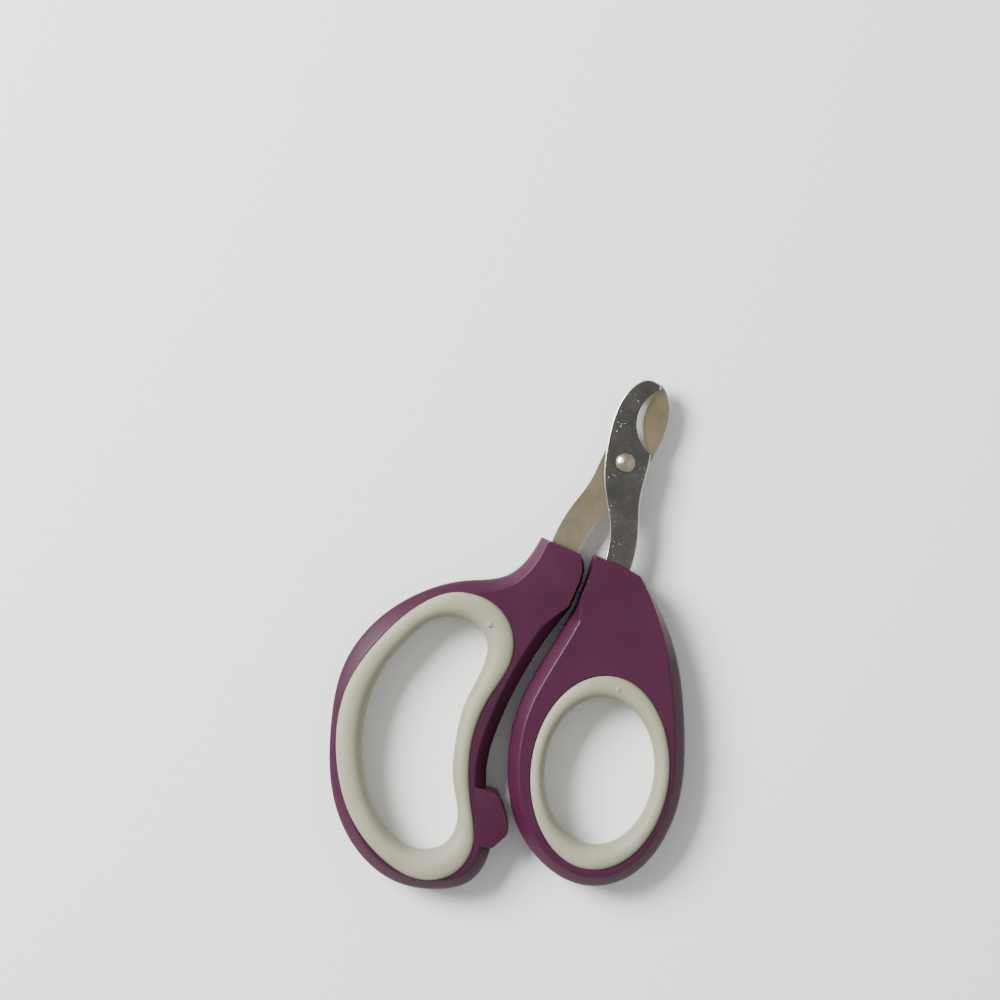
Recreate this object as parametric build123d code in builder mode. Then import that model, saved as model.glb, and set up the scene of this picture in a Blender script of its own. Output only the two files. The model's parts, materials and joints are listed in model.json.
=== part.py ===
"""Scissor-type claw clipper for small pets, lying flat and closed.

Two identical hooked blades are stamped from stainless strip, ground on their outer faces and
riveted together with their flat faces meeting.  The tang of each blade is moulded into a plastic
handle that ends in a closed finger loop, and each loop is lined with a soft rubber ring.

Frame: millimetres, +Z up out of the table, +Y towards the blade tips, +X towards the smaller
thumb loop.  The origin is at the middle of the tool's footprint, on the table.  Plan points are
written from the rivet axis, at the nominal length.
"""
import os
from math import asin, cos, hypot, radians, sin

from build123d import *

os.makedirs("parts", exist_ok=True)

# Driving dimensions
tool_length = 90.2          # blade tips to the bottom of the loops
handle_thickness = 8.0      # plastic handle, face to face
flank_chamfer = 1.8         # slope between a handle face and its flank
blade_thickness = 1.5       # steel strip
blade_gap = 0.1             # between the flat faces of the two blades
edge_land = 0.2             # thickness left at the cutting edge
closing_tilt = 20.0         # degrees that the line on which the blades close leans to +X
liner_proud = 0.4           # height of the rubber above each handle face
liner_inner_round = 1.2     # round of the rubber towards the finger
liner_outer_round = 0.3     # round of the rubber towards the plastic
key_height = 2.4            # plastic rib in the loop wall that holds the rubber
key_depth = 0.9
thumb_half_width = 12.4     # outside of the thumb loop's rubber ring
thumb_half_height = 17.3
thumb_side_wall = 2.65      # rubber beside the thumb
thumb_end_wall = 4.1        # rubber above and below the thumb
thumb_lean = -6.0           # degrees
rivet_radius = 1.2          # shank
rivet_head_radius = 1.75
rivet_head_height = 0.9
rivet_tail_radius = 1.7
rivet_tail_height = 0.6
running_clearance = 0.05    # shank in the turning blade, and head above it
anchor_radius = 1.1         # hole in each tang that the plastic flows through
stop_round = 0.5            # corners of the stop block on the inside of the finger loop

# Places worked out from them
plan = tool_length / 90.2
liner_thickness = handle_thickness + 2 * liner_proud
mid_z = liner_thickness / 2
pivot_x = 20.986 * plan
pivot_y = 30.402 * plan
front_z = mid_z + blade_gap / 2
rear_z = mid_z - blade_gap / 2
closing_line = Axis((pivot_x, pivot_y, mid_z), (sin(radians(closing_tilt)), cos(radians(closing_tilt)), 0))


def level(z):
    """The drawing plane at height z, with its origin on the rivet axis."""
    return Plane(origin=(pivot_x, pivot_y, z))


def at(*points):
    """Plan points brought to the tool's own length."""
    return [(x * plan, y * plan) for x, y in points]


def inset(points, depth):
    """The same closed outline, drawn anticlockwise, with every point moved inwards by depth."""
    moved = []
    for i, (x, y) in enumerate(points):
        (x0, y0), (x1, y1) = points[i - 1], points[(i + 1) % len(points)]
        length = hypot(x1 - x0, y1 - y0)
        moved.append((x - depth * (y1 - y0) / length, y + depth * (x1 - x0) / length))
    return moved


# Blade blank: hooked head, waisted neck and tang.  The heel and the nose of the claw notch are
# shared by the cutting edge on the flat face and the wider arc of the bevel on the outer face.
heel, nose = at((4.5, 1.5), (6.15, 12.9))
edge_middle, bevel_middle = at((3.25, 7.5), (2.03, 7.68))

with BuildPart() as blade_blank:
    with BuildSketch(level(front_z)):
        with BuildLine():
            Spline(*at((-4.7, -22.0), (-3.5, -16.8), (-2.8, -12.3), (-3.75, -3.5), (-3.1, 4.0),
                       (-1.3, 10.0), (1.6, 13.7), (4.2, 14.7), (6.15, 13.85)))
            ThreePointArc(*at((6.15, 13.85), (6.5, 13.35)), nose)
            ThreePointArc(nose, edge_middle, heel)
            Spline(heel, *at((4.05, -0.8), (2.7, -6.2), (2.3, -12.5), (1.2, -18.3), (-0.6, -23.5),
                             (-1.6, -27.6)))
            ThreePointArc(*at((-1.6, -27.6), (-4.0, -29.6), (-5.6, -27.2)))
            Line(*at((-5.6, -27.2), (-4.7, -22.0)))
        make_face()
    extrude(amount=blade_thickness)
    with BuildSketch(level(front_z + edge_land)):
        with BuildLine():
            ThreePointArc(nose, edge_middle, heel)
            Line(heel, nose)
        make_face()
    with BuildSketch(level(front_z + blade_thickness)):
        with BuildLine():
            ThreePointArc(nose, bevel_middle, heel)
            Line(heel, nose)
        make_face()
    loft(mode=Mode.SUBTRACT)
    with BuildSketch(level(front_z)):
        with Locations(*at((-3.3, -25.6))):
            Circle(anchor_radius)
    extrude(amount=blade_thickness, mode=Mode.SUBTRACT)

# Front blade: turns on the rivet shank with a running clearance.
with BuildPart() as front_blade:
    add(blade_blank.part)
    with BuildSketch(level(front_z)):
        Circle(rivet_radius + running_clearance)
    extrude(amount=blade_thickness, mode=Mode.SUBTRACT)
front_blade.part.label = "front_blade"
export_step(front_blade.part, "parts/front_blade.step")

# Rear blade: the same blank turned over about the closing line, held fast on the shank.
with BuildPart() as rear_blade:
    add(blade_blank.part.rotate(closing_line, 180))
    with BuildSketch(level(rear_z)):
        Circle(rivet_radius)
    extrude(amount=-blade_thickness, mode=Mode.SUBTRACT)
rear_blade.part.label = "rear_blade"
export_step(rear_blade.part, "parts/rear_blade.step")

# Pivot rivet, turned in one profile: domed head over the front blade, shank, and a flat tail
# peened under the rear one.
head_z = front_z + blade_thickness + running_clearance
tail_z = rear_z - blade_thickness
rim_z = head_z + 0.3 * rivet_head_height
crown_z = head_z + rivet_head_height
crown_height = crown_z - rim_z
dome_radius = (rivet_head_radius ** 2 + crown_height ** 2) / (2 * crown_height)
half_turn = asin(rivet_head_radius / dome_radius) / 2
peen = 0.5 * rivet_tail_height
rivet_side = Plane(origin=(pivot_x, pivot_y, 0), x_dir=(1, 0, 0), z_dir=(0, -1, 0))

with BuildPart() as pivot_rivet:
    with BuildSketch(rivet_side):
        with BuildLine():
            ThreePointArc((0, crown_z),
                          (dome_radius * sin(half_turn), crown_z - dome_radius * (1 - cos(half_turn))),
                          (rivet_head_radius, rim_z))
            Polyline((rivet_head_radius, rim_z), (rivet_head_radius, head_z), (rivet_radius, head_z),
                     (rivet_radius, tail_z), (rivet_tail_radius, tail_z),
                     (rivet_tail_radius, tail_z - rivet_tail_height + peen),
                     (rivet_tail_radius - peen, tail_z - rivet_tail_height),
                     (0, tail_z - rivet_tail_height), (0, crown_z))
        make_face()
    revolve(axis=Axis((pivot_x, pivot_y, 0), (0, 0, 1)))
pivot_rivet.part.label = "pivot_rivet"
export_step(pivot_rivet.part, "parts/pivot_rivet.step")

# Thumb loop handle, on the tang of the front blade.  The rubber ring's outline is also the wall
# of the loop, and a rib round that wall keys the rubber in place.
thumb_centre = at((-4.6, -54.7))[0]

with BuildPart() as right_handle:
    with BuildSketch(level(mid_z)):
        with BuildLine():
            Line(*at((-8.7, -25.1), (-7.2, -21.2)))
            Line(*at((-7.2, -21.2), (-5.7, -16.1)))
            Spline(*at((-5.7, -16.1), (-1.5, -17.8), (2.7, -20.1)))
            Spline(*at((2.7, -20.1), (5.2, -24.3), (9.0, -34.1), (10.45, -46.3), (9.8, -58.5),
                       (6.4, -67.3), (-0.6, -73.9), (-8.4, -74.6), (-14.9, -70.7), (-19.4, -63.8),
                       (-20.9, -54.5), (-18.7, -42.6), (-13.6, -33.4), (-8.7, -25.1)))
        make_face()
    extrude(amount=handle_thickness / 2, both=True)
    flanks = right_handle.faces().filter_by(Plane.XY).edges().sort_by(SortBy.LENGTH)[-2:]
    chamfer(flanks, flank_chamfer)
    with BuildSketch(level(mid_z)):
        with Locations(thumb_centre):
            Ellipse(thumb_half_width * plan, thumb_half_height * plan, rotation=thumb_lean)
    extrude(amount=handle_thickness / 2, both=True, mode=Mode.SUBTRACT)
    with BuildSketch(level(mid_z)):
        with Locations(thumb_centre):
            Ellipse(thumb_half_width * plan, thumb_half_height * plan, rotation=thumb_lean)
            Ellipse(thumb_half_width * plan - key_depth, thumb_half_height * plan - key_depth,
                    rotation=thumb_lean, mode=Mode.SUBTRACT)
    extrude(amount=key_height / 2, both=True)
    add(front_blade.part, mode=Mode.SUBTRACT)
right_handle.part.label = "right_handle"
export_step(right_handle.part, "parts/right_handle.step")

# Finger loop handle, on the tang of the rear blade, with the stop block that meets the thumb loop.
finger_wall = at((-29.6, -22.8), (-36.1, -24.9), (-43.0, -30.3), (-48.4, -37.6), (-50.9, -45.7),
                 (-50.7, -55.4), (-48.4, -63.1), (-43.0, -70.0), (-36.5, -73.6), (-30.3, -72.6),
                 (-26.9, -67.7), (-27.1, -61.5), (-27.6, -55.0), (-26.7, -47.7), (-23.6, -40.9),
                 (-20.1, -34.9), (-20.2, -28.9), (-24.2, -24.2))

with BuildPart() as left_handle:
    with BuildSketch(level(mid_z)):
        with BuildLine():
            Line(*at((-9.8, -25.7), (-7.5, -20.2)))
            ThreePointArc(*at((-7.5, -20.2), (-7.3, -18.2), (-7.7, -16.3)))
            Line(*at((-7.7, -16.3), (-14.9, -13.1)))
            Spline(*at((-14.9, -13.1), (-16.6, -16.0), (-20.8, -19.8), (-28.0, -20.8),
                       (-36.7, -23.1), (-44.9, -28.6), (-50.2, -36.4), (-52.2, -46.0),
                       (-51.6, -60.0), (-47.5, -68.7), (-40.7, -74.2), (-34.0, -75.5),
                       (-27.6, -74.1), (-23.9, -68.0), (-24.3, -61.0), (-24.6, -54.0),
                       (-22.3, -46.0), (-18.3, -37.8), (-13.9, -30.9), (-9.8, -25.7)))
        make_face()
    extrude(amount=handle_thickness / 2, both=True)
    flanks = left_handle.faces().filter_by(Plane.XY).edges().sort_by(SortBy.LENGTH)[-2:]
    chamfer(flanks, flank_chamfer)
    with BuildSketch(level(mid_z)) as stop:
        Polygon(*at((-26.8, -67.6), (-23.5, -68.1), (-20.9, -65.6), (-20.7, -63.6),
                    (-22.3, -58.8), (-24.2, -57.7), (-26.8, -57.2)), align=None)
        fillet(stop.vertices(), stop_round)
    extrude(amount=handle_thickness / 2, both=True)
    with BuildSketch(level(mid_z)):
        with BuildLine():
            Spline(*finger_wall, periodic=True)
        make_face()
    extrude(amount=handle_thickness / 2, both=True, mode=Mode.SUBTRACT)
    with BuildSketch(level(mid_z)):
        with BuildLine():
            Spline(*finger_wall, periodic=True)
        make_face()
        with BuildLine():
            Spline(*inset(finger_wall, key_depth), periodic=True)
        make_face(mode=Mode.SUBTRACT)
    extrude(amount=key_height / 2, both=True)
    add(rear_blade.part, mode=Mode.SUBTRACT)
left_handle.part.label = "left_handle"
export_step(left_handle.part, "parts/left_handle.step")

# Rubber ring of the thumb loop, moulded round the rib.
with BuildPart() as right_liner:
    with BuildSketch(level(0)):
        with Locations(thumb_centre):
            Ellipse(thumb_half_width * plan, thumb_half_height * plan, rotation=thumb_lean)
            Ellipse(thumb_half_width * plan - thumb_side_wall, thumb_half_height * plan - thumb_end_wall,
                    rotation=thumb_lean, mode=Mode.SUBTRACT)
    extrude(amount=liner_thickness)
    ring_edges = right_liner.faces().filter_by(Plane.XY).edges().sort_by(SortBy.LENGTH)
    fillet(ring_edges[:2], liner_inner_round)
    ring_edges = right_liner.faces().filter_by(Plane.XY).edges().sort_by(SortBy.LENGTH)
    fillet(ring_edges[2:], liner_outer_round)
    add(right_handle.part, mode=Mode.SUBTRACT)
right_liner.part.label = "right_liner"
export_step(right_liner.part, "parts/right_liner.step")

# Rubber ring of the finger loop.
finger_hole = at((-33.4, -27.6), (-38.8, -31.5), (-43.0, -36.6), (-45.9, -43.4), (-46.8, -50.6),
                 (-45.7, -58.4), (-42.8, -64.6), (-37.7, -68.4), (-32.0, -67.5), (-29.8, -63.0),
                 (-30.5, -56.9), (-30.2, -49.6), (-28.3, -42.3), (-25.4, -36.5), (-24.6, -31.5),
                 (-27.6, -28.0))
with BuildPart() as left_liner:
    with BuildSketch(level(0)):
        with BuildLine():
            Spline(*finger_wall, periodic=True)
        make_face()
        with BuildLine():
            Spline(*finger_hole, periodic=True)
        make_face(mode=Mode.SUBTRACT)
    extrude(amount=liner_thickness)
    ring_edges = left_liner.faces().filter_by(Plane.XY).edges().sort_by(SortBy.LENGTH)
    fillet(ring_edges[:2], liner_inner_round)
    ring_edges = left_liner.faces().filter_by(Plane.XY).edges().sort_by(SortBy.LENGTH)
    fillet(ring_edges[2:], liner_outer_round)
    add(left_handle.part, mode=Mode.SUBTRACT)
left_liner.part.label = "left_liner"
export_step(left_liner.part, "parts/left_liner.step")
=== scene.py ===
"""Scissor-type claw clipper for small pets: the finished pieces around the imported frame.

Everything is in metres in the frame's own axes.  Plan points are written in millimetres from the
rivet axis, as the tool lies closed on a table, and heights in millimetres from its middle plane.
"""
import json
from math import cos, pi, radians, sin

import bmesh
import bpy
import numpy as np
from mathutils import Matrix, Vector, geometry


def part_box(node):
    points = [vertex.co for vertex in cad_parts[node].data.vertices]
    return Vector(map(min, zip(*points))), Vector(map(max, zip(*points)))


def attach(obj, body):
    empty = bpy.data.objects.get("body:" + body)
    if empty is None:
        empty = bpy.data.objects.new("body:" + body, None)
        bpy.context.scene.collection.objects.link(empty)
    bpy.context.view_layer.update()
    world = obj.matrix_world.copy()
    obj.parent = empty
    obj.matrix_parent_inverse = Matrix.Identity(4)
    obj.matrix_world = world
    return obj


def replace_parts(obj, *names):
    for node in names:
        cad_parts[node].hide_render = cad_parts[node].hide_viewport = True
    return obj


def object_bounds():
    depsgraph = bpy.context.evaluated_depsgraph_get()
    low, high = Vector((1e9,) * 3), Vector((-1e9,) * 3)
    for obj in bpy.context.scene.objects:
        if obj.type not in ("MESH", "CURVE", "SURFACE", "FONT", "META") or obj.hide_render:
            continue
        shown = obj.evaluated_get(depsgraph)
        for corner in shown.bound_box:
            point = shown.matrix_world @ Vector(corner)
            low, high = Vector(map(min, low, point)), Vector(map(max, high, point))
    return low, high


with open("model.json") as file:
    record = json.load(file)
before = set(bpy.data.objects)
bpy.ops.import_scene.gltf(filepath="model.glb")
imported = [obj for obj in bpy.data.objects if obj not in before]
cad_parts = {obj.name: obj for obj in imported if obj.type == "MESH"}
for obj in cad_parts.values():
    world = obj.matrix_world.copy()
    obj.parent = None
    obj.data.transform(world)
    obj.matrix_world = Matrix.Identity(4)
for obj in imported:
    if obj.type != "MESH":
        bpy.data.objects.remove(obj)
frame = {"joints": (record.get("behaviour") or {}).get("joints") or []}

cad_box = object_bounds()

# Purple handles.  Each is one moulding in satin polypropylene round the tang of its blade, with a
# loop at the end: an upright flank with a fine parting line, a sloped shoulder and a flat face.
MM = 0.001                  # metres in a millimetre
rivet_axis = Vector(frame["joints"][0]["pos_m"])
handle_half = (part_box("left_handle")[1].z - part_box("left_handle")[0].z) / 2 / MM
loop_shoulder = 2.0         # width of the slope round the loops
side_shoulder = 2.8         # on the outer side of the finger loop, where it reaches the rubber
start_shoulder = 1.35       # where that side starts, beside the blade
neck_shoulder = 0.4         # where the necks face each other
end_shoulder = 0.12         # on the ends, where the blades come out
flank_top = 1.9             # height of the upright flank above the parting line
face_step = 1.2             # between the points that keep the face flat
lip_clear, wall_clear = 0.02, 0.12      # least room from a point of the face to each edge
level_face = 0.99999        # upward part of the normal on a face that is level
shoulder_rise = [(0.0, 0.0), (0.07, 0.12), (0.20, 0.26), (0.40, 0.46), (0.60, 0.655), (0.80, 0.845),
                 (0.92, 0.950), (0.965, 0.984), (1.0, 0.998), (1.04, 1.0), (1.15, 1.0)]
parting_ridge = [(0.05, flank_top), (0.035, 0.22), (0.0, 0.07), (0.0, -0.07), (0.035, -0.22),
                 (0.05, -flank_top)]


def curve(points, closed=False, step=0.35):
    """Points about every step millimetres along the cubic curve through the given points."""
    knots = np.array(points, float)
    if closed:
        knots = np.vstack([knots[-3:], knots, knots[:4]])
    along = np.concatenate([[0.0], np.cumsum(np.hypot(*np.diff(knots, axis=0).T))])
    gap = np.diff(along)
    system = np.eye(len(knots))
    pull = np.zeros_like(knots)
    for i in range(1, len(knots) - 1):
        system[i, i - 1:i + 2] = gap[i - 1], 2 * (gap[i - 1] + gap[i]), gap[i]
        pull[i] = 6 * ((knots[i + 1] - knots[i]) / gap[i] - (knots[i] - knots[i - 1]) / gap[i - 1])
    bend = np.linalg.solve(system, pull)
    first, last = (3, len(knots) - 4) if closed else (0, len(knots) - 1)
    count = max(2, round((along[last] - along[first]) / step))
    at = np.linspace(along[first], along[last], count + 1)[:count + (not closed)]
    i = np.clip(np.searchsorted(along, at, side="right") - 1, 0, len(gap) - 1)
    a, b = ((along[i + 1] - at) / gap[i])[:, None], ((at - along[i]) / gap[i])[:, None]
    swell = ((a ** 3 - a) * bend[i] + (b ** 3 - b) * bend[i + 1]) * (gap[i] ** 2)[:, None] / 6
    return a * knots[i] + b * knots[i + 1] + swell


def anticlockwise(outline):
    """The same outline running anticlockwise; further columns keep their rows."""
    x, y = outline.T[:2]
    return outline if (x * np.roll(y, -1) - y * np.roll(x, -1)).sum() > 0 else outline[::-1]


def inward(outline):
    """Unit normals into a closed outline that runs anticlockwise."""
    along = np.roll(outline, -1, axis=0) - np.roll(outline, 1, axis=0)
    along /= np.hypot(*along.T)[:, None]
    return np.column_stack([-along[:, 1], along[:, 0]])


def nearest(points, outline, lip=0.0, width=1.0):
    """Distance of each point from a closed outline, less its lip, as a share of each side's width."""
    run = (np.roll(outline, -1, axis=0) - outline)[None, :, :]
    away = points[:, None, :] - outline[None, :, :]
    share = np.clip((away * run).sum(2) / (run ** 2).sum(2), 0, 1)[:, :, None]
    return ((np.sqrt(((away - share * run) ** 2).sum(2)) - lip) / width).min(1)


def within(points, outline):
    """True for each point that is inside a closed outline."""
    x, y = points[:, 0][:, None], points[:, 1][:, None]
    x0, y0 = outline[:, 0][None, :], outline[:, 1][None, :]
    x1, y1 = np.roll(x0, -1, axis=1), np.roll(y0, -1, axis=1)
    crosses = (y0 > y) != (y1 > y)
    rise = np.where(y1 == y0, 1e-12, y1 - y0)
    return ((crosses & (x < (x1 - x0) * (y - y0) / rise + x0)).sum(1) % 2) == 1


def place(x, y, z):
    """A plan point from the rivet and a height from the middle plane, in the frame's metres."""
    return (x * MM + rivet_axis.x, y * MM + rivet_axis.y, z * MM + rivet_axis.z)


def triangles(points, loops, creases=()):
    """Triangles over plan points, inside the first closed loop of point numbers and outside the
    rest, with edges along each crease."""
    edges = [(loop[i - 1], loop[i]) for loop in loops for i in range(len(loop))]
    edges += [pair for crease in creases for pair in zip(crease, crease[1:])]
    made = geometry.delaunay_2d_cdt([Vector(p) for p in points], edges, [], 0, 1e-6)
    source = [origin[0] if origin else None for origin in made[3]]
    plan = np.array([v[:] for v in made[0]])
    middles = np.array([plan[list(f)].mean(0) for f in made[2]])
    keep = within(middles, points[loops[0]])
    for loop in loops[1:]:
        keep &= ~within(middles, points[loop])
    return [[source[v] for v in f] for f, kept in zip(made[2], keep) if kept]


def numbered(rows, count):
    """The point numbers of a mesh that is drawn in rows of count points."""
    return [list(range(row * count, (row + 1) * count)) for row in range(rows)]


def skin(rows):
    """Faces from each closed row of point numbers to the next."""
    return [(upper[i - 1], upper[i], lower[i], lower[i - 1])
            for upper, lower in zip(rows, rows[1:]) for i in range(len(upper))]


def finished(name, verts, faces, body, finishes, crease=32, finish_of_faces=None):
    """A closed mesh with outward faces that rides on its body."""
    mesh = bpy.data.meshes.new(name)
    mesh.from_pydata(verts, [], faces)
    if finish_of_faces is not None:
        mesh.polygons.foreach_set("material_index", finish_of_faces)
    shell = bmesh.new()
    shell.from_mesh(mesh)
    bmesh.ops.remove_doubles(shell, verts=shell.verts, dist=1e-7)
    bmesh.ops.recalc_face_normals(shell, faces=shell.faces)
    shell.to_mesh(mesh)
    shell.free()
    mesh.shade_smooth()
    mesh.set_sharp_from_angle(angle=radians(crease))
    piece = bpy.data.objects.new(name, mesh)
    bpy.context.scene.collection.objects.link(piece)
    for finish in finishes:
        mesh.materials.append(finish)
    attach(piece, body)
    return piece


def moulding(name, stretches, wall, body):
    """A handle.  Its parting line is drawn in stretches, each with the width of its shoulder at
    shares of its length, and wall is the loop's opening."""
    drawn = []
    for points, widths in stretches:
        along = np.linspace(0, 1, len(points))
        drawn.append(np.column_stack([points, np.interp(along, *zip(*widths))]))
    *outline, width = anticlockwise(np.vstack(drawn)).T
    outline, wall = np.column_stack(outline), anticlockwise(wall)
    into = inward(outline)
    lip = parting_ridge[0][0]
    low, high = outline.min(0), outline.max(0)
    grid = np.meshgrid(np.arange(low[0], high[0], face_step), np.arange(low[1], high[1], face_step))
    slope = [outline + (lip + share * width)[:, None] * into for share, up in shoulder_rise[1:]]
    field = np.vstack(slope + [np.stack(grid, axis=-1).reshape(-1, 2)])
    clear = within(field, outline) & (nearest(field, outline) > lip + lip_clear)
    clear &= ~within(field, wall) & (nearest(field, wall) > wall_clear)
    points = np.vstack([outline + lip * into, field[clear], wall])
    climb = np.interp(nearest(points, outline, lip, width), *zip(*shoulder_rise))
    height = flank_top + (handle_half - flank_top) * climb
    height[:len(outline)] = flank_top
    verts = [place(x, y, h) for (x, y), h in zip(points, height)]
    verts += [place(x, y, -h) for (x, y), h in zip(points, height)]
    n = len(points)
    rim = list(range(len(outline)))
    mouth = list(range(n - len(wall), n))
    top = triangles(points, [rim, mouth])
    belt = [rim]
    for depth, h in parting_ridge[1:-1]:
        belt.append(list(range(len(verts), len(verts) + len(outline))))
        verts += [place(*(p + depth * q), h) for p, q in zip(outline, into)]
    belt.append([v + n for v in rim])
    faces = top + [[v + n for v in f[::-1]] for f in top]
    faces += skin(belt) + skin([mouth, [v + n for v in mouth]])
    piece = finished(name, verts, faces, body, [purple])
    for face in piece.data.polygons:
        face.use_smooth = abs(face.normal.z) < level_face
    return piece


def surface(name):
    """A new node material: its node tree, its shader and a way to add nodes."""
    material = bpy.data.materials.new(name)
    material.use_nodes = True
    tree = material.node_tree

    def add(kind, links=(), **settings):
        node = tree.nodes.new(kind)
        for key, value in settings.items():
            if key in node.inputs:
                node.inputs[key].default_value = value
            else:
                setattr(node, key, value)
        for key, output in dict(links).items():
            tree.links.new(output, node.inputs[key])
        return node

    return material, tree, tree.nodes["Principled BSDF"], add


def shades(add, value, stops):
    """The colour that a value stands for, between stops that are each a value and a colour."""
    node = add("ShaderNodeValToRGB", {"Fac": value})
    elements = node.color_ramp.elements
    for at, colour in stops[1:-1]:
        elements.new(at)
    for element, (at, colour) in zip(elements, stops):
        element.position = at
        element.color = (*colour, 1)
    return node.outputs["Color"]


def brought(add, value, to, start=(0.0, 1.0)):
    """A value brought from the start range to another."""
    node = add("ShaderNodeMapRange", {"Value": value})
    for socket, number in zip(("From Min", "From Max", "To Min", "To Max"), (*start, *to)):
        node.inputs[socket].default_value = number
    return node.outputs["Result"]


purple, tree, shader, add = surface("purple_satin_plastic")
where = add("ShaderNodeTexCoord").outputs["Object"]
cloud = add("ShaderNodeTexNoise", {"Vector": where}, Scale=60.0, Detail=4.0, Roughness=0.6)
tint = shades(add, cloud.outputs["Fac"],
              [(0.30, (0.036, 0.0046, 0.0195)), (0.5, (0.043, 0.0058, 0.0235)),
               (0.72, (0.052, 0.0078, 0.0290))])
tree.links.new(tint, shader.inputs["Base Color"])
smear = add("ShaderNodeTexNoise", {"Vector": where}, Scale=220.0, Detail=5.0, Roughness=0.65)
tree.links.new(brought(add, smear.outputs["Fac"], (0.30, 0.46)), shader.inputs["Roughness"])
grain = add("ShaderNodeTexNoise", {"Vector": where}, Scale=5200.0, Detail=2.0, Roughness=0.5)
flow = add("ShaderNodeTexNoise", {"Vector": where}, Scale=420.0, Detail=2.0, Roughness=0.5)
fine = add("ShaderNodeBump", {"Height": grain.outputs["Fac"]}, Strength=0.22, Distance=0.00003)
waves = add("ShaderNodeBump", {"Height": flow.outputs["Fac"], "Normal": fine.outputs["Normal"]},
            Strength=0.12, Distance=0.00010)
tree.links.new(waves.outputs["Normal"], shader.inputs["Normal"])
shader.inputs["Specular IOR Level"].default_value = 0.27

# Thumb handle.  The smaller half, moulded in purple round the tang of the front blade.  Its outline
# is the edge that faces the other neck, the end round the blade, and the loop with its leaning oval.
thumb_outline = [
    (curve([(-8.6, -24.8), (-8.1, -23.2), (-7.2, -21.1), (-6.5, -19.0), (-5.85, -16.6)]),
     [(0, neck_shoulder), (1, neck_shoulder)]),
    (curve([(-5.55, -16.15), (-3.8, -16.9), (-1.5, -17.8), (0.9, -19.0), (2.5, -19.95)]),
     [(0, end_shoulder), (1, end_shoulder)]),
    (curve([(2.8, -20.25), (5.2, -24.3), (9.0, -34.1), (10.45, -46.3), (9.8, -58.5), (6.4, -67.3),
            (-0.6, -73.9), (-8.4, -74.6), (-14.9, -70.7), (-19.4, -63.8), (-20.9, -54.5),
            (-18.7, -42.6), (-13.6, -33.4), (-8.75, -25.15)]),
     [(0, end_shoulder), (0.03, neck_shoulder), (0.14, loop_shoulder), (0.978, loop_shoulder),
      (1, neck_shoulder)])]
thumb_centre, thumb_lean = np.array((-4.6, -54.7)), radians(-6)
thumb_half_width, thumb_half_height = 12.4, 17.3


def oval(half_width, half_height, count=300):
    """Points on an ellipse that leans as the thumb loop does."""
    turn = np.linspace(0, 2 * pi, count, endpoint=False)
    x, y = half_width * np.cos(turn), half_height * np.sin(turn)
    return thumb_centre + np.column_stack([x * cos(thumb_lean) - y * sin(thumb_lean),
                                           x * sin(thumb_lean) + y * cos(thumb_lean)])


thumb_wall = oval(thumb_half_width, thumb_half_height)
right_handle = moulding("thumb_handle", thumb_outline, thumb_wall, "right_half")
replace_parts(right_handle, "right_handle")

# Finger handle.  The larger half, moulded in purple round the tang of the rear blade, with a loop
# bent like a bean for two fingers.  Its outline has the same three stretches.
finger_outline = [
    (curve([(-9.7, -25.4), (-8.6, -22.9), (-7.6, -20.4), (-7.3, -18.2), (-7.55, -16.8)]),
     [(0, neck_shoulder), (1, neck_shoulder)]),
    (curve([(-7.8, -16.2), (-11.2, -14.7), (-14.6, -13.2)]), [(0, end_shoulder), (1, end_shoulder)]),
    (curve([(-14.95, -13.25), (-16.6, -16.0), (-20.8, -19.8), (-28.0, -20.8), (-36.7, -23.1),
            (-44.9, -28.6), (-50.2, -36.4), (-52.2, -46.0), (-51.6, -60.0), (-47.5, -68.7),
            (-40.7, -74.2), (-34.0, -75.5), (-27.6, -74.1), (-23.9, -68.0), (-24.3, -61.0),
            (-24.6, -54.0), (-22.3, -46.0), (-18.3, -37.8), (-13.9, -30.9), (-9.85, -25.75)]),
     [(0, start_shoulder), (0.07, loop_shoulder), (0.15, side_shoulder), (0.40, side_shoulder),
      (0.50, loop_shoulder), (0.96, loop_shoulder), (1, neck_shoulder)])]
finger_wall = curve([(-29.6, -22.8), (-36.1, -24.9), (-43.0, -30.3), (-48.4, -37.6), (-50.9, -45.7),
                     (-50.7, -55.4), (-48.4, -63.1), (-43.0, -70.0), (-36.5, -73.6), (-30.3, -72.6),
                     (-26.9, -67.7), (-27.1, -61.5), (-27.6, -55.0), (-26.7, -47.7), (-23.6, -40.9),
                     (-20.1, -34.9), (-20.2, -28.9), (-24.2, -24.2)], closed=True)
left_handle = moulding("finger_handle", finger_outline, finger_wall, "left_half")
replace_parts(left_handle, "left_handle")

# Stop block.  A block moulded on the inside of the finger loop, flush with the handle's faces,
# that the thumb loop would meet if the blades were squeezed past closed.
block_outline = anticlockwise(np.array(
    [(-26.8, -67.6), (-23.6, -68.0), (-22.2, -66.8), (-21.3, -66.0), (-20.95, -65.4), (-20.8, -64.5),
     (-20.85, -63.6), (-21.3, -61.6), (-22.1, -59.4), (-22.5, -58.6), (-23.1, -58.1), (-24.1, -57.8),
     (-26.95, -57.2)]))
block_edge = [(0.01, 0.30), (0.03, 0.20), (0.10, 0.09), (0.20, 0.03), (0.32, 0.0)]
block_profile = [(h - handle_half, depth) for h, depth in block_edge]
block_profile += [(-h, depth) for h, depth in reversed(block_profile)]
verts = [place(*(p + depth * q), h)
         for h, depth in block_profile for p, q in zip(block_outline, inward(block_outline))]
rows = numbered(len(block_profile), len(block_outline))
finished("stop_block", verts, skin(rows) + [rows[0][::-1], rows[-1]], "left_half",
         [purple])

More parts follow.
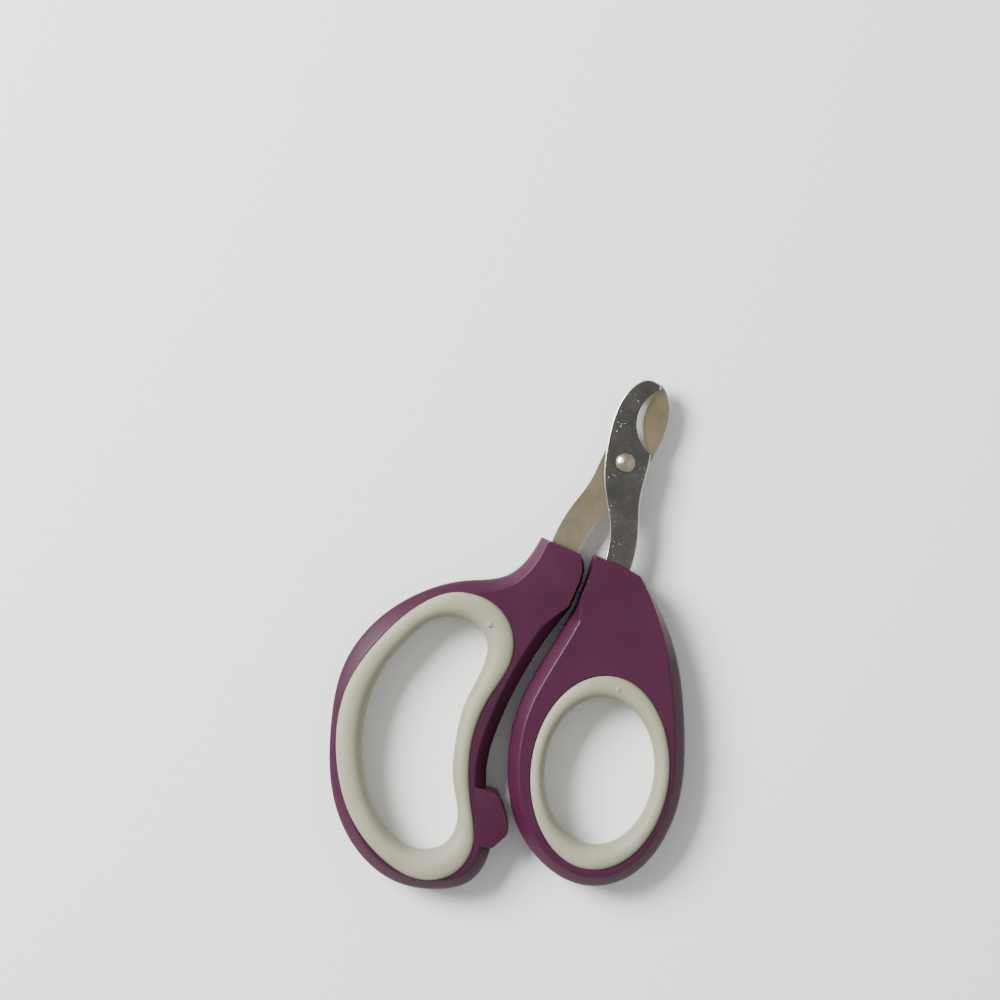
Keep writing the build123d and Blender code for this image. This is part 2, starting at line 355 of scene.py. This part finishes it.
# Rubber linings.  Soft warm-grey rings moulded into the loops, keyed round a rib in the wall: a
# crowned bead, highest near its middle, that rolls over into the finger hole.
rubber_half = (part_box("left_liner")[1].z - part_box("left_liner")[0].z) / 2 / MM
gate_proud = 0.12           # height of the gate marks above the crest of the upper face
wall_bite = 0.03            # how far the edge of the rubber runs into the plastic
thumb_side_wall, thumb_end_wall = 2.65, 4.1         # rubber beside the thumb, and at its ends
bead = [(0.0, -1.6), (0.0, -1.0), (0.02, -0.75), (0.06, -0.52), (0.12, -0.33), (0.20, -0.16),
        (0.30, -0.05), (0.40, 0.0), (0.48, -0.01), (0.56, -0.06), (0.64, -0.16), (0.72, -0.32),
        (0.80, -0.56), (0.87, -0.88), (0.93, -1.3), (0.97, -1.8), (0.99, -2.4), (1.0, -3.2)]

grey, tree, shader, add = surface("warm_grey_rubber")
where = add("ShaderNodeTexCoord").outputs["Object"]
cloud = add("ShaderNodeTexNoise", {"Vector": where}, Scale=140.0, Detail=5.0, Roughness=0.6)
tint = shades(add, cloud.outputs["Fac"],
              [(0.28, (0.250, 0.244, 0.172)), (0.5, (0.280, 0.273, 0.196)),
               (0.75, (0.312, 0.305, 0.224))])
tree.links.new(tint, shader.inputs["Base Color"])
tree.links.new(brought(add, cloud.outputs["Fac"], (0.48, 0.62)), shader.inputs["Roughness"])
grain = add("ShaderNodeTexNoise", {"Vector": where}, Scale=3600.0, Detail=3.0, Roughness=0.6)
matt = add("ShaderNodeBump", {"Height": grain.outputs["Fac"]}, Strength=0.35, Distance=0.00004)
tree.links.new(matt.outputs["Normal"], shader.inputs["Normal"])
shader.inputs["Specular IOR Level"].default_value = 0.25


def lining(name, wall, hole, body):
    """A rubber ring from the loop's wall in to the finger hole."""
    wall, hole = anticlockwise(wall), anticlockwise(hole)
    run = np.roll(wall, -1, axis=0) - wall
    outer = []
    for p, q in zip(hole, -inward(hole)):
        across = q[0] * run[:, 1] - q[1] * run[:, 0]
        to = wall - p
        reach = (to[:, 0] * run[:, 1] - to[:, 1] * run[:, 0]) / across
        share = (to[:, 0] * q[1] - to[:, 1] * q[0]) / across
        hit = reach[(share >= -1e-6) & (share <= 1 + 1e-6) & (reach > 0)]
        outer.append(p + (hit.min() + wall_bite) * q)
    section = [(s, rubber_half - gate_proud + drop) for s, drop in bead]
    section += [(s, -rubber_half - drop) for s, drop in reversed(bead)]
    verts = [place(*(o + s * (i - o)), h) for s, h in section for o, i in zip(outer, hole)]
    rows = numbered(len(section), len(hole))
    return finished(name, verts, skin(rows + rows[:1]), body, [grey], crease=60)


finger_hole = curve([(-33.4, -27.6), (-38.8, -31.5), (-43.0, -36.6), (-45.9, -43.4), (-46.8, -50.6),
                     (-45.7, -58.4), (-42.8, -64.6), (-37.7, -68.4), (-32.0, -67.5), (-29.8, -63.0),
                     (-30.5, -56.9), (-30.2, -49.6), (-28.3, -42.3), (-25.4, -36.5), (-24.6, -31.5),
                     (-27.6, -28.0)], closed=True)
thumb_hole = oval(thumb_half_width - thumb_side_wall, thumb_half_height - thumb_end_wall)
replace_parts(lining("thumb_lining", thumb_wall, thumb_hole, "right_half"), "right_liner")
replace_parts(lining("finger_lining", finger_wall, finger_hole, "left_half"), "left_liner")

# Gate marks.  The small round pip that is left on top of each ring where the rubber was fed into
# the mould; it stands a little above the crest of the bead.
pip_profile = [(0.0, 0.26), (0.2, 0.25), (0.38, 0.20), (0.5, 0.12), (0.57, 0.02), (0.62, -0.3),
               (0.0, -0.3)]
pip_foot = rubber_half - pip_profile[0][1]


def turned(name, profile, centre, body, finish, turns=40, crease=40):
    """A lathe-turned piece about the vertical through a plan point; profile is (radius, height)."""
    around = [2 * pi * k / turns for k in range(turns)]
    verts = [place(centre[0] + radius * cos(turn), centre[1] + radius * sin(turn), h)
             for radius, h in profile for turn in around]
    return finished(name, verts, skin(numbered(len(profile), turns)), body, [finish],
                    crease=crease)


for name, centre, body in (("gate_mark_thumb", (-1.3, -39.9), "right_half"),
                           ("gate_mark_finger", (-24.0, -28.5), "left_half")):
    turned(name, [(r, h + pip_foot) for r, h in pip_profile], centre, body, grey)

# Blades.  Two identical stampings in 1.5 mm stainless strip, tumbled so that their outer rims are
# rounded, hollow-ground at the claw notch and lapped flat where they slide together.  Their colours carry
# painted
# light: a dark tint on the polished faces paints a dark reflection, a lighter tint on the rims paints
# their bright highlight, and a tan tint on the lapped faces paints a warm reflection.
strip = (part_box("front_blade")[1].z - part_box("front_blade")[0].z) / MM
lap = (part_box("front_blade")[0].z - rivet_axis.z) / MM
edge_land = 0.2             # thickness left at the cutting edge
rim_width, rim_height = 0.20, 0.24
rim_rows = (0.12, 0.26, 0.42, 0.60, 0.80, 1.0)      # shares of the rim's quarter turn
rim_kept = 0.985            # a rim point nearer to the outline than this share of its depth is left out
notch_clear = 0.04          # least room from the rim to the notch
notch_rows = (0.3, 0.65, 1.0)
hollow = 1.15               # power of the rise from the cutting edge, above 1 where it is hollow
shank_radius, running_clearance = 1.2, 0.05
closing_line = np.array((sin(radians(20)), cos(radians(20))))


def arc(first, middle, last, count):
    """Points along the circle through three plan points, from the first to the last."""
    a, b, c = (np.array(p, float) for p in (first, middle, last))
    system = 2 * np.array([b - a, c - a])
    centre = np.linalg.solve(system, [b @ b - a @ a, c @ c - a @ a])
    turn = [np.arctan2(*(p - centre)[::-1]) for p in (a, b, c)]
    full = (turn[2] - turn[0]) % (2 * pi)
    if (turn[1] - turn[0]) % (2 * pi) > full:
        full -= 2 * pi
    on = turn[0] + full * np.linspace(0, 1, count)
    return centre + np.hypot(*(a - centre)) * np.column_stack([np.cos(on), np.sin(on)])


def steel(name, tints, roughness, lines, pits_and_glints):
    """Stainless steel: tints from dark to light, a roughness range, how deep its grinding lines are, and
    pits_and_glints, which sets how deep its pitting is and how strongly bright specks are mixed into
    its colour as painted glints."""
    material, tree, shader, add = surface(name)
    shader.inputs["Metallic"].default_value = 1.0
    where = add("ShaderNodeTexCoord").outputs["Object"]
    cloud = add("ShaderNodeTexNoise", {"Vector": where}, Scale=170.0, Detail=5.0, Roughness=0.62)
    tint = shades(add, cloud.outputs["Fac"], [(0.30, tints[0]), (0.52, tints[1]), (0.74, tints[2])])
    drawn = add("ShaderNodeMapping", {"Vector": where}, Scale=(1.0, 0.06, 1.0),
                Rotation=(0, 0, radians(24)))
    brush = add("ShaderNodeTexNoise", {"Vector": drawn.outputs["Vector"]}, Scale=9000.0, Detail=4.0,
                Roughness=0.7)
    # Painted glints: small bright specks in patches, mixed into the colour below as light caught by the
    # steel, and also dented into the surface as pitting.
    glint_specks = add("ShaderNodeTexVoronoi", {"Vector": where}, Scale=2300.0, Randomness=1.0)
    patch = add("ShaderNodeTexNoise", {"Vector": where}, Scale=330.0, Detail=2.0)
    spots = add("ShaderNodeMath", {0: brought(add, glint_specks.outputs["Distance"], (1.0, 0.0), (0.10, 0.26)),
                                   1: brought(add, patch.outputs["Fac"], (0.0, 1.0), (0.42, 0.60))},
                operation="MULTIPLY")
    glint = add("ShaderNodeMath", {0: spots.outputs["Value"]}, operation="MULTIPLY")
    glint.inputs[1].default_value = min(1.0, 1.6 * pits_and_glints)
    lit = add("ShaderNodeMix", {"Factor": glint.outputs["Value"]}, data_type="RGBA")
    plain, bright, mixed = lit.inputs[6], lit.inputs[7], lit.outputs[2]
    tree.links.new(tint, plain)
    bright.default_value = (*[min(1.0, 1.55 * c + pits_and_glints * 0.1) for c in tints[2]], 1)
    tree.links.new(mixed, shader.inputs["Base Color"])
    tree.links.new(brought(add, brush.outputs["Fac"], roughness), shader.inputs["Roughness"])
    scored = add("ShaderNodeBump", {"Height": brush.outputs["Fac"]}, Strength=lines, Distance=0.00002)
    pitted = add("ShaderNodeBump", {"Height": spots.outputs["Value"], "Normal": scored.outputs["Normal"]},
                 Strength=pits_and_glints, Distance=0.00005)
    tree.links.new(pitted.outputs["Normal"], shader.inputs["Normal"])
    return material


# The polished faces and sides: a dark greenish tint that paints a dark reflection of the surroundings
# into the steel's colour.
polished_dark_reflection = steel("polished_stainless_painted_dark_reflection",
                 [(0.115, 0.122, 0.104), (0.168, 0.160, 0.140), (0.235, 0.213, 0.195)],
                 (0.14, 0.26), lines=0.10, pits_and_glints=0.5)
ground = steel("ground_stainless", [(0.58, 0.58, 0.56), (0.68, 0.68, 0.65), (0.76, 0.76, 0.73)],
               (0.24, 0.40), lines=0.35, pits_and_glints=0.1)
# The rounded rims: the same polished steel with a lighter tint than the faces, which paints the bright
# highlight along them.
rim_painted_highlight = steel("tumbled_rim_stainless_painted_highlight", [(0.52, 0.51, 0.48), (0.60, 0.59, 0.56), (0.68, 0.67, 0.64)],
               (0.12, 0.20), lines=0.05, pits_and_glints=0.0)
# The lapped faces: a dark tan tint that paints a warm, dim reflection of the purple surroundings into the
# steel's colour.
lapped_warm_reflection = steel("lapped_stainless_painted_warm_reflection",
               [(0.29, 0.240, 0.145), (0.36, 0.305, 0.195), (0.43, 0.370, 0.255)],
               (0.26, 0.40), lines=0.30, pits_and_glints=0.15)
blade_finishes = [polished_dark_reflection, ground, lapped_warm_reflection, rim_painted_highlight]

heel, nose, back_of_nose = (4.5, 1.5), (6.15, 12.9), (6.15, 13.85)
cutting_edge = arc(heel, (3.25, 7.5), nose, 60)
bevel_top = arc(heel, (2.03, 7.68), nose, 60)
neck_side = curve([(-1.6, -27.6), (-0.6, -23.5), (1.2, -18.3), (2.3, -12.5), (2.7, -6.2), (4.05, -0.8),
                   heel], step=0.2)
nose_end = arc(nose, (6.5, 13.35), back_of_nose, 8)
back_side = curve([back_of_nose, (4.2, 14.7), (1.6, 13.7), (-1.3, 10.0), (-3.1, 4.0), (-3.75, -3.5),
                   (-2.8, -12.3), (-3.5, -16.8), (-4.7, -22.0)], step=0.2)
tang_end = arc((-5.6, -27.2), (-4.0, -29.6), (-1.6, -27.6), 20)
blade_outline = np.vstack([neck_side, cutting_edge[1:-1], nose_end[:-1], back_side, tang_end[:-1]])
notch = np.zeros(len(blade_outline), bool)
notch[len(neck_side):len(neck_side) + len(cutting_edge) - 2] = True
crescent = np.vstack([cutting_edge, bevel_top[::-1]])


def blade(name, turned_over, body):
    """A blade with its lapped face beside the middle plane; turned_over makes the rear one."""
    into = inward(blade_outline)
    plan = [blade_outline]
    height = [np.where(notch, edge_land, strip - rim_height)]
    for share in rim_rows:
        depth = rim_width * (1 - cos(share * pi / 2))
        line = (blade_outline + depth * into)[~notch]
        clear = (nearest(line, blade_outline) > rim_kept * depth) & ~within(line, crescent)
        clear &= nearest(line, crescent) > notch_clear
        plan.append(line[clear])
        height.append(np.full(clear.sum(), strip - rim_height * (1 - sin(share * pi / 2))))
    for share in notch_rows:
        line = (cutting_edge + share * (bevel_top - cutting_edge))[2:-2]
        plan.append(line)
        height.append(np.full(len(line), edge_land + share ** hollow * (strip - edge_land)))
    bore_radius = shank_radius if turned_over else shank_radius + running_clearance
    around = np.linspace(0, 2 * pi, 72, endpoint=False)
    plan.append(bore_radius * np.column_stack([np.cos(around), np.sin(around)]))
    height.append(np.full(len(around), strip))
    points, height = np.vstack(plan), np.concatenate(height)
    n = len(points)
    rim = list(range(len(blade_outline)))
    bore = list(range(n - len(around), n))
    arris = list(range(bore[0] - len(line), bore[0]))
    top = triangles(points, [rim, bore], [arris])
    in_notch = within(np.array([points[f].mean(0) for f in top]), crescent)
    in_rim = np.array([height[f].min() < strip - 1e-6 for f in top]) & ~in_notch
    if turned_over:
        points = 2 * np.outer(points @ closing_line, closing_line) - points
    side = -1 if turned_over else 1
    verts = [place(x, y, side * (lap + h)) for (x, y), h in zip(points, height)]
    verts += [place(x, y, side * lap) for x, y in points]
    faces = top + [[v + n for v in f[::-1]] for f in top]
    for loop in (rim, bore):
        faces += skin([loop, [v + n for v in loop]])
    # The finishes paint light: a dark reflection on the polished faces and sides, a highlight on the rims
    # and a warm reflection on the lapped faces; the notch bevel is ground.
    upper = np.where(in_notch, blade_finishes.index(ground),
                     np.where(in_rim, blade_finishes.index(rim_painted_highlight), blade_finishes.index(polished_dark_reflection)))
    lower = np.full(len(top), blade_finishes.index(lapped_warm_reflection))
    sides = np.full(len(rim) + len(bore), blade_finishes.index(polished_dark_reflection))
    return finished(name, verts, faces, body, blade_finishes, crease=30,
                    finish_of_faces=np.concatenate([upper, lower, sides]).astype(np.int32))


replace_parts(blade("front_claw_blade", False, "right_half"), "front_blade")
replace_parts(blade("rear_claw_blade", True, "left_half"), "rear_blade")

# Pivot rivet.  One bright nickel-plated steel rivet: a low dome over the front blade with the ring
# that its setting punch leaves, a shank through both blades, and a peened tail behind.
head_radius, tail_radius, dome_rise = 1.75, 1.7, 0.72
crown = (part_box("pivot_rivet")[1].z - rivet_axis.z) / MM
foot = (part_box("pivot_rivet")[0].z - rivet_axis.z) / MM
head_low = lap + strip + running_clearance
tail_high = -(lap + strip)
punch_ring = [(0.0, 0.0), (0.45, 0.035), (0.62, 0.065), (0.70, 0.105), (0.80, 0.115)]
dome = [(0.58, 0.24), (0.70, 0.36), (0.80, 0.49), (0.88, 0.63), (0.94, 0.76), (0.98, 0.88), (1.0, 1.0)]
peened = [(tail_radius, 0.34), (tail_radius - 0.08, 0.16), (tail_radius - 0.26, 0.04),
          (tail_radius - 0.5, 0.0), (0.5, 0.0), (0.35, 0.08), (0.0, 0.1)]
rivet_profile = [(r, crown - drop) for r, drop in punch_ring]
rivet_profile += [(head_radius * r, crown - dome_rise * drop) for r, drop in dome]
rivet_profile += [(head_radius - 0.01, head_low + 0.06), (head_radius - 0.08, head_low),
                  (shank_radius, head_low), (shank_radius, tail_high), (tail_radius, tail_high)]
rivet_profile += [(r, foot + h) for r, h in peened]
nickel = steel("bright_nickel", [(0.42, 0.34, 0.25), (0.50, 0.42, 0.31), (0.58, 0.50, 0.39)],
               (0.20, 0.28), lines=0.12, pits_and_glints=0.08)
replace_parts(turned("rivet_with_dome", rivet_profile, (0.0, 0.0), "left_half", nickel,
                   turns=96, crease=50), "pivot_rivet")

# Table, lights and camera.  A plain pale table just under the tool, a broad soft key light from the
# upper left, a weaker fill from the right, and the camera straight above.
table_reach, table_z = 3.0, -0.0001
table_corners = [(x * table_reach, y * table_reach, table_z)
                 for x, y in ((-1, -1), (1, -1), (1, 1), (-1, 1))]
table_mesh = bpy.data.meshes.new("table_top")
table_mesh.from_pydata(table_corners, [], [(0, 1, 2, 3)])
table_top = bpy.data.objects.new("table_top", table_mesh)
bpy.context.scene.collection.objects.link(table_top)
paper, tree, shader, add = surface("pale_table")
shader.inputs["Base Color"].default_value = (0.92, 0.92, 0.92, 1)
shader.inputs["Roughness"].default_value = 0.8
table_mesh.materials.append(paper)

middle = (cad_box[0] + cad_box[1]) / 2


def softbox(name, at, size, watts):
    """A square studio light aimed at the middle of the tool."""
    light = bpy.data.lights.new(name, "AREA")
    light.size, light.energy = size, watts
    lamp = bpy.data.objects.new(name, light)
    bpy.context.scene.collection.objects.link(lamp)
    lamp.location = at
    lamp.rotation_euler = (middle - Vector(at)).to_track_quat("-Z", "Y").to_euler()


softbox("key_light", (-0.54, 0.33, 0.56), 0.40, 20.0)
softbox("fill_light", (0.60, -0.10, 0.60), 1.0, 0.8)

world = bpy.data.worlds.new("studio")
bpy.context.scene.world = world
world.use_nodes = True
world.node_tree.nodes["Background"].inputs["Color"].default_value = (0.9, 0.9, 0.9, 1)
world.node_tree.nodes["Background"].inputs["Strength"].default_value = 0.58

camera_height = 0.55        # above the rivet
view_width = 0.1776         # across the picture, at the rivet's height
view_middle = (-0.02224, -0.00657)      # from the rivet
camera_data = bpy.data.cameras.new("camera")
camera_data.sensor_width = 36.0
camera_data.lens = camera_data.sensor_width * camera_height / view_width
camera_data.clip_start = 0.01
camera = bpy.data.objects.new("camera", camera_data)
bpy.context.scene.collection.objects.link(camera)
camera.location = rivet_axis + Vector((*view_middle, camera_height))
camera.rotation_euler = (0, 0, 0)
bpy.context.scene.camera = camera
